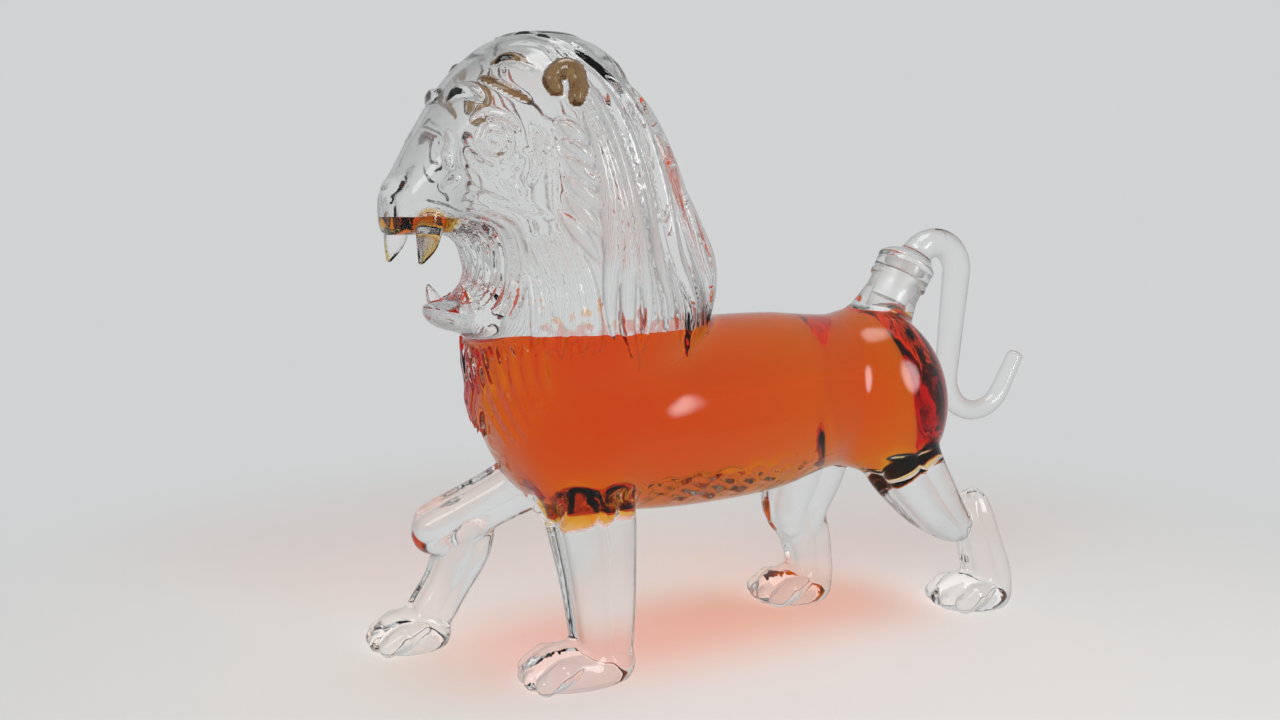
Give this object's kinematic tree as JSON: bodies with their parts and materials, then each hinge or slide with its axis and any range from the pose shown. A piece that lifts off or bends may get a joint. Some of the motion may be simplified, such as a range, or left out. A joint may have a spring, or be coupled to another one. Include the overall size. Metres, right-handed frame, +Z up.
{
  "type": "decanter",
  "caption": "Clear glass decanter shaped as a walking lion with an open mouth, holding amber liquor; its ground stopper is drawn out into the tail and lifts out of a neck on the rump.",
  "frame": {"origin": "centre of the bounding box's base, on the surface the paws stand on", "axes": "+X towards the tail, +Y towards the lion's right side, +Z up"},
  "size_m": [0.3128, 0.1002, 0.248],
  "materials": {
    "clear_glass": "fire-polished",
    "ground_glass": "ground, frosted",
    "liquor": "clear amber liquid"
  },
  "bodies": {
    "decanter": {"ear_left": "clear_glass", "ear_right": "clear_glass", "eye_left": "clear_glass", "eye_right": "clear_glass", "fill_neck": "clear_glass", "front_left_leg": "clear_glass", "front_left_paw": "clear_glass", "front_right_lower_leg": "clear_glass", "front_right_paw": "clear_glass", "front_right_upper_leg": "clear_glass", "head_shell": "clear_glass", "hind_left_hock": "clear_glass", "hind_left_paw": "clear_glass", "hind_left_thigh": "clear_glass", "hind_right_hock": "clear_glass", "hind_right_paw": "clear_glass", "hind_right_thigh": "clear_glass", "liquor_fill": "liquor", "lower_fang_left": "clear_glass", "lower_fang_right": "clear_glass", "lower_jaw": "clear_glass", "mane_lock_back": "clear_glass", "mane_lock_left_1": "clear_glass", "mane_lock_left_2": "clear_glass", "mane_lock_left_3": "clear_glass", "mane_lock_left_4": "clear_glass", "mane_lock_left_5": "clear_glass", "mane_lock_left_6": "clear_glass", "mane_lock_left_7": "clear_glass", "mane_lock_left_8": "clear_glass", "mane_lock_right_1": "clear_glass", "mane_lock_right_2": "clear_glass", "mane_lock_right_3": "clear_glass", "mane_lock_right_4": "clear_glass", "mane_lock_right_5": "clear_glass", "mane_lock_right_6": "clear_glass", "mane_lock_right_7": "clear_glass", "mane_lock_right_8": "clear_glass", "muzzle_liquor": "liquor", "nose_tip": "clear_glass", "torso_shell": "clear_glass", "upper_fang_left": "clear_glass", "upper_fang_right": "clear_glass"},
    "plug": {"stopper_plug": "ground_glass"},
    "tail": {"stopper_collar": "clear_glass", "tail_rod": "clear_glass"}
  },
  "joints": [
    {"name": "stopper_lift", "type": "slide", "parent": "decanter", "child": "plug", "axis": [0.4924, 0, 0.8704], "range_m": [0, 0.045]},
    {"name": "stopper_turn", "type": "hinge", "parent": "plug", "child": "tail", "pos_m": [0.08263, 0, 0.15149], "axis": [0.4924, 0, 0.8704], "continuous": true}
  ]
}
